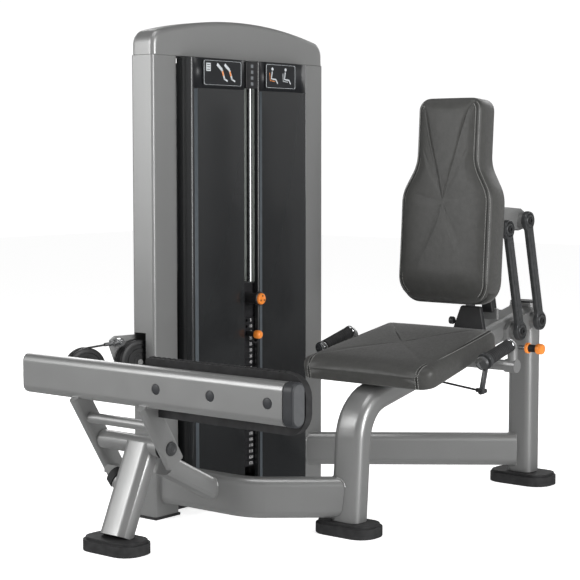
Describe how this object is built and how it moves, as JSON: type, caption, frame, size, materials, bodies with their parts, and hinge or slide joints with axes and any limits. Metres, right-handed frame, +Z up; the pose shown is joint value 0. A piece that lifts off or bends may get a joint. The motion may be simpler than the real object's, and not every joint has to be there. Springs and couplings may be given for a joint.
{
  "type": "seated calf extension machine",
  "caption": "Seated calf extension gym machine: weight-stack tower, swinging footplate with tread, tilted seat and back pad on parallel links.",
  "frame": {"origin": "on the floor at the middle of the sole under the seat's front post", "axes": "+Z up; the user sits facing -Y; +X is the user's left; the weight tower stands on the -X side with its front towards +X"},
  "size_m": [1.062, 1.6491, 1.487],
  "materials": {
    "silver_paint": "satin silver-grey paint with fine metallic flake",
    "black_paint": "satin black paint",
    "dark_cast": "satin dark grey coating on castings",
    "chrome_steel": "polished chrome",
    "plate_iron": "satin black weight plates",
    "gloss_shroud": "semi-gloss near-black moulded cover",
    "black_plastic": "fine matt moulded black",
    "placard": "printed instruction plate, dark with light pictures",
    "black_rubber": "matt black moulded rubber",
    "orange_plastic": "semi-gloss orange with black grips",
    "upholstery": "charcoal grained vinyl with light grey double stitching",
    "cable_coat": "black nylon coat over steel cable"
  },
  "bodies": {
    "frame": {"front_post": "silver_paint", "rear_post": "silver_paint", "rear_rail": "silver_paint", "base_tube": "silver_paint", "front_foot": "black_rubber", "rear_foot": "black_rubber", "leg_foot": "black_rubber", "footplate_leg": "silver_paint", "stop_bumper": "black_rubber", "leg_brace": "silver_paint", "left_column": "silver_paint", "right_column": "silver_paint", "left_sole": "black_rubber", "right_sole": "black_rubber", "top_cap": "silver_paint", "tower_base": "black_paint", "left_front_shroud": "gloss_shroud", "right_front_shroud": "gloss_shroud", "rear_shroud": "gloss_shroud", "left_placard": "placard", "right_placard": "placard", "left_guide_rod": "chrome_steel", "right_guide_rod": "chrome_steel", "cable_anchor": "chrome_steel", "drive_cable": "cable_coat", "resting_plates": "plate_iron", "seat_pad": "upholstery", "seat_pan": "black_paint", "handle_bar": "silver_paint", "left_grip": "black_rubber", "right_grip": "black_rubber", "link_base": "silver_paint", "beam_cover": "black_plastic"},
    "footplate": {"footplate_bar": "silver_paint", "left_arm": "silver_paint", "right_arm": "silver_paint", "pivot_shaft": "dark_cast", "tread_plate": "black_rubber", "bar_end_cap": "black_plastic", "moving_pulley_bracket": "black_paint"},
    "moving_wheel": {"moving_pulley": "black_plastic"},
    "column_wheel": {"column_pulley": "black_plastic"},
    "side_top_wheel": {"side_top_pulley": "black_plastic"},
    "stack_top_wheel": {"stack_top_pulley": "black_plastic"},
    "lifted_stack": {"head_plate": "plate_iron", "weight_plate_1": "plate_iron", "weight_plate_2": "plate_iron", "weight_plate_3": "plate_iron"},
    "dial": {"increment_dial": "orange_plastic"},
    "pin": {"selector_pin": "orange_plastic"},
    "front_links": {"front_link_left": "dark_cast", "front_link_right": "dark_cast"},
    "rear_links": {"rear_link_left": "dark_cast", "rear_link_right": "dark_cast"},
    "back": {"back_pad": "upholstery", "back_shell": "black_plastic", "carriage": "silver_paint"},
    "crank": {"release_crank": "dark_cast"},
    "crank_rod": {"release_rod": "black_paint"},
    "pull": {"release_pull": "orange_plastic"}
  },
  "joints": [
    {"name": "footplate_swing", "type": "hinge", "parent": "frame", "child": "footplate", "pos_m": [-0.41, -0.457, 0.279], "axis": [1, 0, 0], "range_deg": [0, 40], "deforming": ["drive_cable"]},
    {"name": "moving_pulley_spin", "type": "hinge", "parent": "footplate", "child": "moving_wheel", "pos_m": [-0.6469, -0.4147, 0.459], "axis": [0.9781, -0.2079, 0], "range_deg": [-155, 0]},
    {"name": "column_pulley_spin", "type": "hinge", "parent": "frame", "child": "column_wheel", "pos_m": [-0.6093, -0.2376, 0.47], "axis": [0.9781, -0.2079, 0], "range_deg": [-230, 0]},
    {"name": "side_top_pulley_spin", "type": "hinge", "parent": "frame", "child": "side_top_wheel", "pos_m": [-0.596, -0.1344, 1.394], "axis": [1, 0, 0], "range_deg": [0, 360]},
    {"name": "stack_top_pulley_spin", "type": "hinge", "parent": "frame", "child": "stack_top_wheel", "pos_m": [-0.596, 0.1192, 1.394], "axis": [1, 0, 0], "range_deg": [0, 360]},
    {"name": "stack_lift", "type": "slide", "parent": "frame", "child": "lifted_stack", "axis": [0, 0, 1], "range_m": [0, 0.251]},
    {"name": "dial_turn", "type": "hinge", "parent": "lifted_stack", "child": "dial", "pos_m": [-0.5, 0.16, 0.6379], "axis": [1, 0, 0], "range_deg": [0, 120]},
    {"name": "pin_pull", "type": "slide", "parent": "lifted_stack", "child": "pin", "axis": [1, 0, 0], "range_m": [0, 0.09]},
    {"name": "back_adjust", "type": "hinge", "parent": "frame", "child": "front_links", "pos_m": [0, 0.782, 0.523], "axis": [1, 0, 0], "range_deg": [-24, 20]},
    {"name": "rear_link_swing", "type": "hinge", "parent": "frame", "child": "rear_links", "pos_m": [0, 0.903, 0.547], "axis": [1, 0, 0], "range_deg": [-24, 20]},
    {"name": "carriage_level", "type": "hinge", "parent": "front_links", "child": "back", "pos_m": [0, 0.701, 0.849], "axis": [1, 0, 0], "range_deg": [-20, 24]},
    {"name": "crank_twist", "type": "hinge", "parent": "frame", "child": "crank", "pos_m": [0.29, 0.2594, 0.495], "axis": [0, 0.9677, 0.2522], "range_deg": [-18, 0], "stiffness_Nm_per_rad": 0.6},
    {"name": "rod_level", "type": "hinge", "parent": "crank", "child": "crank_rod", "pos_m": [0.29, 0.24, 0.41], "axis": [0, 0.9677, 0.2522], "range_deg": [0, 18]},
    {"name": "lock_pull", "type": "slide", "parent": "frame", "child": "pull", "axis": [1, 0, 0], "range_m": [0, 0.015], "stiffness_N_per_m": 300}
  ],
  "couplings": [
    {"joint": "stack_lift", "follows": "footplate_swing", "m_per_rad": 0.358},
    {"joint": "column_pulley_spin", "follows": "footplate_swing", "ratio": -5.6},
    {"joint": "side_top_pulley_spin", "follows": "footplate_swing", "ratio": 8.8},
    {"joint": "stack_top_pulley_spin", "follows": "footplate_swing", "ratio": 8.8},
    {"joint": "moving_pulley_spin", "follows": "footplate_swing", "ratio": -3.8},
    {"joint": "rear_link_swing", "follows": "back_adjust", "ratio": 1},
    {"joint": "carriage_level", "follows": "back_adjust", "ratio": -1},
    {"joint": "rod_level", "follows": "crank_twist", "ratio": -1}
  ]
}
